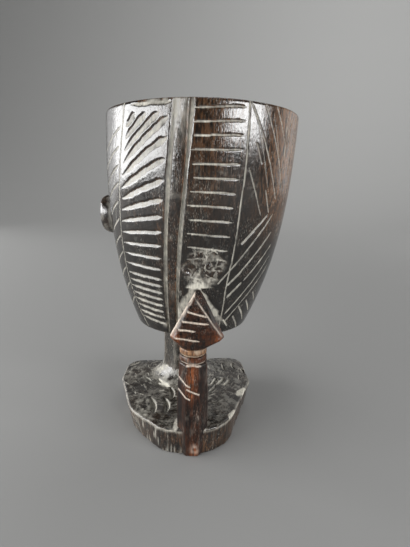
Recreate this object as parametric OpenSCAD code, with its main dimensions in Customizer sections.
// Carved wooden drinking cup on a stem, with a ringed post in front.
// Millimetres, Z up. The cup stands on z = 0 and the bowl's foot is centred on the Z axis.
// The post is on the -Y side and the small mask is on the -X side.

/* [Bowl] */
// Height of the whole cup, from the floor to the rim
cup_h = 160; // [145:1:180]
// Height of the bowl, from its underside to the rim
bowl_h = 106.7; // [92:0.1:118]
// Outer radius of the bowl at the rim
rim_r = 48.2; // [44:0.1:54]
// Outer radius of the bowl's underside
bowl_foot_r = 30.2; // [26:0.1:34]
// Belly of the bowl: a larger number keeps its side upright further down
belly = 2.6; // [2:0.1:3.2]
// Lean of the bowl towards +X, in degrees
bowl_lean = 2.4; // [0:0.1:4]
// Wall thickness of the bowl
wall = 5; // [4.2:0.1:7]
// Thickness of the bowl's floor over the stem
floor_t = 12; // [9:0.1:16]
// Radius of the hollow's bottom edge
hollow_round = 12; // [4:0.5:16]

/* [Rib band] */
// Width of the sunk band that runs from the rim to the underside
band_w = 8.6; // [6:0.1:12]
// Depth of the sunk band
band_d = 1.3; // [0.8:0.1:2]
// Width of the rib that stands in the band
rib_w = 5; // [2.5:0.1:5.6]
// Distance of the band's middle from the post's axis at the rim, towards -X
band_shift_rim = 5.7; // [2:0.1:8]
// The same distance at the underside
band_shift_foot = 12; // [8:0.1:16]

/* [Carving] */
// Depth of the cuts in the bowl's side
cut_d = 0.7; // [0.4:0.1:1.2]
// Width of the broad cuts
broad_cut_w = 2; // [1:0.1:2.6]
// Width of the thin cuts
thin_cut_w = 1; // [0.6:0.1:1.6]
// Number of broad cuts in the panel on the left of the band
left_cuts = 21; // [8:1:23]
// Number of thin cuts in the ladder on the right of the band
ladder_cuts = 11; // [5:1:13]
// Number of broad cuts in the panel at the rear
rear_cuts = 15; // [6:1:17]

/* [Side mask] */
// Height of the mask's middle above the bowl's underside
mask_rise = 57.7; // [45:0.1:70]
// Height of the mask
mask_h = 22; // [18:0.1:28]
// Width of the mask
mask_w = 15.5; // [12:0.1:17.5]
// How far the mask stands out of the bowl
mask_out = 6.4; // [4:0.1:10]
// How much the mask's edge slopes in towards its front
mask_slope = 3.2; // [1:0.1:4.5]
// Radius of the mask's peg
mask_peg_r = 4; // [2.5:0.1:4.5]
// Length of the peg inside the bowl's wall
mask_peg_l = 2.4; // [1.5:0.1:3]

/* [Stem] */
// Width of the eight-sided stem, flat to flat
stem_w = 23.2; // [18:0.1:28]
// Place of the stem along X
stem_x = -4.5; // [-7:0.1:3]
// Place of the stem along Y
stem_y = 6; // [0:0.1:8]
// Radius of the tenons at both ends of the stem
stem_tenon_r = 7; // [4:0.1:8]
// Length of each of these tenons
stem_tenon_l = 6; // [3:0.1:7]

/* [Base] */
// Height of the base at its edge
base_h = 13.5; // [10:0.1:17]
// Width of the base at its top
base_w = 76.5; // [68:0.5:86]
// Place of the base's middle along X
base_x = -2.8; // [-4:0.1:2]
// Distance from the bowl's axis to the base's rear edge, at its right corner
base_rear = 29; // [27:0.5:36]
// How much further forward the rear edge lies at its left corner
rear_skew = 6; // [0:0.5:7]
// How far the base reaches in front of the post's axis
base_nose = 6; // [4:0.1:6.2]
// How much the base's wall slopes in towards the floor
base_slope = 2.6; // [0.5:0.1:4]
// The same slope at the nose
nose_slope = 0.8; // [0.4:0.1:2]
// Radius of the base's corners
base_corner_r = 9; // [7:0.5:12]
// Radius of the base's blunt nose
base_nose_r = 22; // [16:0.5:26]
// Half the width between the middles of the base's front corners
front_corner_x = 18.5; // [12:0.5:22]
// How far those corner middles lie behind the post's axis
front_corner_back = 13; // [9:0.5:18]
// How far the rear right corner is drawn in from the base's side
rear_corner_in = 2; // [0:0.5:6]
// Height of the mound under the stem
mound_h = 7; // [4:0.1:9]
// How far the mound spreads out from the stem's corners
mound_spread = 7; // [4:0.1:9]

/* [Post] */
// Place of the post's axis along X
post_x = 2.7; // [-1:0.1:6]
// Distance from the edge of the bowl's underside to the post's axis
post_out = 13.6; // [11:0.1:17]
// Radius of the eight-sided post at the floor, to its flats
post_foot_r = 6.1; // [5:0.1:7.5]
// Radius of the post at its neck, to its flats
post_neck_r = 6.3; // [5:0.1:7.5]
// How much the post swells at mid height
post_swell = 1; // [0:0.1:2]
// Height of each of the two neck rings
ring_h = 3.6; // [2.5:0.1:4.5]
// Depth of the groove under each neck ring
ring_groove = 0.6; // [0.3:0.1:1]
// Radius of the tenon that carries the rings and the post head
post_tenon_r = 3.4; // [2:0.1:4]
// Length of that tenon inside the post head
post_tenon_l = 5.5; // [3:0.1:8]

/* [Post head] */
// Height of the post head's chin above the bowl's underside
chin_rise = 1.2; // [0:0.1:3]
// Height of the post head, from its chin to its point
head_h = 26; // [21:0.1:32]
// Height of its widest place above the chin
head_cheek_h = 5.4; // [4.5:0.1:9]
// Width of the post head
head_w = 24.5; // [20:0.1:30]
// Shift of its middle from the post's axis, towards +X
head_shift = 1.7; // [-1:0.1:3]
// How far the head's front stands out in front of the post's axis
head_front = 6.6; // [4:0.1:8]
// How far the cheeks lie behind the middle of that front
head_cheek_back = 3.5; // [1:0.1:6]
// Thickness of the head at its point
head_point_t = 3.4; // [1:0.1:5]
// How far the front face's point lies under the head's own point
head_bevel = 4; // [2:0.1:6]
// Width of the flat front at the cheeks, as a share of the head's width
head_face = 0.84; // [0.5:0.02:0.9]
// Rounding of its edges
head_round = 1.2; // [0.8:0.1:2]

/* [Fits] */
// Clearance of pegs and tenons in their sockets, on the radius and at the end
peg_gap = 0.1; // [0.05:0.05:0.2]
// Clearance between curved seats
seat_gap = 0.15; // [0.1:0.05:0.3]

/* [Hidden] */
$fn = 96;

// How far a cutting shape runs past the surface that it cuts
over = 1;
// Steps along a curved outline
steps = 24;
// Half the angle of one side of an eight-sided member
half_side = 22.5;

bowl_z = cup_h - bowl_h;
post_y = -(bowl_foot_r + post_out);
chin_z = bowl_z + chin_rise;
post_shoulder_z = chin_z - 2 * ring_h;
stem_corner_r = stem_w / 2 / cos(half_side);
stem_foot_z = base_h + mound_h;
mask_z = bowl_z + mask_rise;
head_x = post_x + head_shift;

// Borders of the carved panels: share of the bowl's height, and azimuth in degrees from -Y towards -X
left_border = [[0.03, 47], [0.16, 52], [0.34, 53.4], [0.62, 49], [1.01, 43]];
right_border = [[0.13, -25.5], [0.27, -23.8], [0.76, -25.1], [1.01, -24]];

// Outer radius of the bowl at a height along its axis
function bowl_r(z) = rim_r - (rim_r - bowl_foot_r) * pow(max(cup_h - z, 0) / bowl_h, belly);

// How far the bowl's axis has leaned towards +X at a height
function lean_x(z) = (z - bowl_z) * tan(bowl_lean);

// Radius of the post at a height
function post_r(z) = post_foot_r + (post_neck_r - post_foot_r) * z / post_shoulder_z
    + post_swell * sin(180 * z / post_shoulder_z);

// Height at a share of the bowl's height
function bowl_height(share) = bowl_z + bowl_h * share;

// Place along X of the band's middle at a height
function band_x(z) = post_x - band_shift_foot
    + (band_shift_foot - band_shift_rim) * (z - bowl_z) / bowl_h;

// Azimuth on the bowl's side of a place that far to the left of the band's middle
function band_az(z, left) = asin((lean_x(z) - band_x(z) + left) / bowl_r(z));

// Azimuth of a border at a height
function border_az(border, z) = lookup((z - bowl_z) / bowl_h, border);

// Height along the bowl's axis of a place on its side
function axis_height(az, z) = bowl_z
    + (z - bowl_z - bowl_r(z) * sin(az) * sin(bowl_lean)) / cos(bowl_lean);

// Inward drop of the hollow's outline near its floor
function hollow_drop(rise) = rise >= hollow_round ? 0
    : hollow_round - sqrt(pow(hollow_round, 2) - pow(hollow_round - rise, 2));

module leaned() {
    translate([0, 0, bowl_z])
        rotate([0, bowl_lean, 0])
            translate([0, 0, -bowl_z])
                children();
}

// Solid inside the bowl's outer surface, larger all round by grow
module bowl_form(grow = 0) {
    low = bowl_z - rim_r * sin(bowl_lean) - over;
    high = cup_h + rim_r * sin(bowl_lean) + over;
    side = [for (i = [0:steps]) let (z = low + (high - low) * i / steps) [bowl_r(z) + grow, z]];
    leaned()
        rotate_extrude()
            polygon(concat([[0, low]], side, [[0, high]]));
}

// Everything between two heights
module slab(low, high) {
    reach = 3 * rim_r;
    translate([-reach, -reach, low])
        cube([2 * reach, 2 * reach, high - low]);
}

// The hollow that holds the drink
module hollow() {
    low = bowl_z + floor_t;
    high = cup_h + rim_r * sin(bowl_lean) + over;
    side = [for (i = [0:steps])
        let (rise = (high - low) * pow(i / steps, 2), z = low + rise)
        [bowl_r(z) - wall - hollow_drop(rise), z]];
    leaned()
        rotate_extrude()
            polygon(concat([[0, low]], side, [[0, high]]));
}

// Slice through the front of the bowl along the slanting band
module band_slice(width) {
    rim_x = post_x - band_shift_rim;
    foot_x = post_x - band_shift_foot;
    slant = atan((rim_x - foot_x) / bowl_h);
    translate([foot_x, 0, bowl_z])
        rotate([0, slant, 0])
            translate([-width / 2, -2 * rim_r, -2 * over])
                cube([width, 2 * rim_r, 2 * bowl_h]);
}

// Straight cut along the bowl's side between two places, each an azimuth and a height
module bowl_cut(from, to, width) {
    low = axis_height(from[0], from[1]);
    high = axis_height(to[0], to[1]);
    middle = (low + high) / 2;
    turn = (from[0] - to[0]) / 2;
    inner = min(bowl_r(low), bowl_r(high)) * cos(turn) - cut_d - 2 * over;
    outer = max(bowl_r(low), bowl_r(high)) + 2 * over;
    across = 2 * bowl_r(middle) * sin(turn);
    length = norm([across, high - low]);
    leaned()
        translate([0, 0, middle])
            rotate([0, 0, turn - from[0]])
                rotate([0, -atan2(high - low, across), 0])
                    translate([-length / 2, -outer, -width / 2])
                        cube([length, outer - inner, width]);
}

// Cuts along a border
module border_cuts(border) {
    for (i = [1:len(border) - 1])
        bowl_cut([border[i - 1][1], bowl_height(border[i - 1][0])],
            [border[i][1], bowl_height(border[i][0])], thin_cut_w);
}

// Broad cuts on the left of the band, steep under the rim, and level and closer further down
module left_panel() {
    top = bowl_height(0.953);
    for (i = [0:left_cuts - 1]) {
        f = i / (left_cuts - 1);
        z = bowl_height(max(0.914 - 0.945 * f, 0.718 - 0.643 * f));
        rise = bowl_h * min(0.94 * pow(max((z - bowl_z) / bowl_h - 0.325, 0), 2) - 0.011, 0.164);
        part = min((top - z) / max(rise, over), 1);
        left = border_az(left_border, z) - 2.6;
        right = band_az(z + rise, band_w / 2) + 1.5;
        bowl_cut([left, z], [left + (right - left) * part, z + rise * part], broad_cut_w);
    }
}

// Thin level cuts on the right of the band
module ladder() {
    for (i = [0:ladder_cuts - 1]) {
        f = i / (ladder_cuts - 1);
        z = bowl_height(0.962 - 0.522 * f + 0.011 * sin(180 * f));
        left = band_az(z, -band_w / 2) - 1.2 - 1.6 * f;
        right = border_az(right_border, z) + 2 + 2.5 * f;
        bowl_cut([left, z], [right, z + bowl_h * (0.011 - 0.029 * f)], thin_cut_w);
    }
}

// Broad cuts between two borders at the rear
module rear_panel() {
    for (i = [0:rear_cuts - 1]) {
        z = bowl_height(0.962 - 0.866 * i / (rear_cuts - 1));
        bowl_cut([181, z - bowl_h * 0.038], [214.5, z + bowl_h * 0.023], broad_cut_w);
    }
}

// All the cuts, down to their depth under the bowl's surface
module carving() {
    difference() {
        union() {
            border_cuts(left_border);
            border_cuts(right_border);
            left_panel();
            ladder();
            rear_panel();
        }
        bowl_form(-cut_d);
    }
}

// Peg along X that pins the mask to the bowl
module mask_peg(grow) {
    wall_x = lean_x(mask_z) - bowl_r(mask_z);
    translate([wall_x + mask_peg_l + grow, 0, mask_z])
        rotate([0, -90, 0])
            cylinder(h = mask_peg_l + grow + mask_out / 2, r = mask_peg_r + grow);
}

// Tenon of the stem between two heights
module stem_tenon(low, high, grow) {
    translate([stem_x, stem_y, low - grow])
        cylinder(h = high - low + 2 * grow, r = stem_tenon_r + grow);
}

// Eight-sided body of the post, larger all round by grow
module post_form(grow = 0) {
    side = [for (i = [0:steps])
        let (z = post_shoulder_z * i / steps)
        [(post_r(z) + grow) / cos(half_side), z]];
    translate([post_x, post_y, 0])
        rotate([0, 0, half_side])
            rotate_extrude($fn = 8)
                polygon(concat([[0, 0]], side, [[0, post_shoulder_z]]));
}

// Tenon on top of the post, through both rings and into the head
module post_tenon(grow) {
    low = post_shoulder_z - grow;
    high = chin_z + post_tenon_l + grow;
    translate([post_x, post_y, low])
        cylinder(h = high - low, r = post_tenon_r + grow);
}

// One rounded corner of the base, wider at its top
module base_corner(x, y, r = base_corner_r, slope = base_slope) {
    translate([x, y, 0])
        cylinder(h = base_h, r1 = r - slope, r2 = r, $fn = 48);
}

// Low base, drawn to a blunt nose at the post and notched for the post's foot
module base() {
    side_x = base_w / 2 - base_corner_r;
    rear_y = base_rear - base_corner_r;
    front_y = post_y + front_corner_back;
    mound = [for (i = [0:steps])
        let (t = i / steps)
        [stem_corner_r + mound_spread * pow(1 - t, 2), base_h + mound_h * t]];
    color("#33251d")
        difference() {
            union() {
                hull() {
                    base_corner(post_x, post_y - base_nose + base_nose_r, base_nose_r, nose_slope);
                    for (side = [-1, 1]) {
                        base_corner(base_x + side * front_corner_x, front_y);
                        base_corner(base_x + side * side_x, 0);
                    }
                    base_corner(base_x + side_x - rear_corner_in, rear_y);
                    base_corner(base_x - side_x, rear_y - rear_skew);
                }
                translate([stem_x, stem_y, 0])
                    rotate_extrude()
                        polygon(concat([[0, base_h / 2]], mound, [[0, stem_foot_z]]));
            }
            stem_tenon(stem_foot_z - stem_tenon_l, stem_foot_z + over, peg_gap);
            translate([0, 0, -over / 2])
                post_form(seat_gap);
            post_form(seat_gap);
        }
}

// Eight-sided stem with a tenon at each end
module stem() {
    color("#2b201a")
        union() {
            translate([stem_x, stem_y, stem_foot_z])
                rotate([0, 0, half_side])
                    cylinder(h = bowl_z - stem_foot_z, r = stem_corner_r, $fn = 8);
            stem_tenon(stem_foot_z - stem_tenon_l, stem_foot_z + over, 0);
            stem_tenon(bowl_z - over, bowl_z + stem_tenon_l, 0);
        }
}

// Deep bowl with a level rim and underside on a slightly leaning axis
module bowl() {
    color("#241b17")
        difference() {
            intersection() {
                bowl_form();
                slab(bowl_z, cup_h);
            }
            hollow();
            intersection() {
                band_slice(band_w);
                difference() {
                    bowl_form(over);
                    bowl_form(-band_d);
                }
            }
            carving();
            stem_tenon(bowl_z - over, bowl_z + stem_tenon_l, peg_gap);
            mask_peg(peg_gap);
        }
}

// Rib that stands in the sunk band, level with the bowl's surface
module bowl_rib() {
    color("#2f221c")
        intersection() {
            band_slice(rib_w);
            slab(bowl_z, cup_h);
            difference() {
                bowl_form();
                bowl_form(seat_gap - band_d);
            }
        }
}

// Small oval mask, pinned to the bowl's side
module side_mask() {
    lobe_r = mask_w / 2;
    lobe_z = (mask_h - mask_w) / 2;
    wall_x = lean_x(mask_z) - bowl_r(mask_z);
    root = wall / 2;
    color("#33251d")
        union() {
            difference() {
                hull()
                    for (side = [-1, 1])
                        translate([wall_x + root, 0, mask_z + side * lobe_z])
                            rotate([0, -90, 0])
                                cylinder(h = root + mask_out, r1 = lobe_r, r2 = lobe_r - mask_slope, $fn = 32);
                bowl_form(seat_gap);
            }
            mask_peg(0);
        }
}

// Post with a slight swell, from the floor to the neck rings
module post() {
    color("#4a2c20")
        union() {
            post_form();
            post_tenon(0);
        }
}

// Ring with a groove under it, threaded on the post's tenon
module neck_ring(low) {
    lip = ring_h / 3;
    difference() {
        translate([post_x, post_y, low])
            rotate_extrude()
                polygon([[0, 0], [post_neck_r - ring_groove, 0], [post_neck_r - ring_groove, lip / 2],
                    [post_neck_r, lip], [post_neck_r, ring_h], [0, ring_h]]);
        post_tenon(peg_gap);
    }
}

module lower_neck_ring() {
    color("#4f3022")
        neck_ring(post_shoulder_z);
}

module upper_neck_ring() {
    color("#6a4a36")
        neck_ring(post_shoulder_z + ring_h);
}

// Pointed head: its back lies on the bowl's side and its chin on the rings
module post_head() {
    cheek_z = chin_z + head_cheek_h;
    point_z = chin_z + head_h - head_round;
    cheek_x = head_w / 2 - head_round;
    front_y = post_y - head_front + head_round;
    // Middles of the rounded corners on one side
    corners = [
        [cheek_x, front_y + head_cheek_back, cheek_z],
        [cheek_x - 2 * head_round, -bowl_r(cheek_z), cheek_z],
        [cheek_x * head_face, front_y, cheek_z]
    ];
    color("#482b20")
        difference() {
            hull() {
                translate([head_x, -bowl_r(point_z), point_z])
                    sphere(r = head_round, $fn = 24);
                translate([post_x, -bowl_r(point_z) - head_point_t, point_z - head_bevel])
                    sphere(r = head_round, $fn = 24);
                for (side = [-1, 1], c = corners)
                    translate([head_x + side * c[0], c[1], c[2]])
                        sphere(r = head_round, $fn = 24);
                translate([post_x, post_y, chin_z])
                    cylinder(h = head_round, r = post_neck_r, $fn = 32);
            }
            bowl_form(seat_gap);
            post_tenon(peg_gap);
        }
}

base();
stem();
bowl();
bowl_rib();
side_mask();
post();
lower_neck_ring();
upper_neck_ring();
post_head();
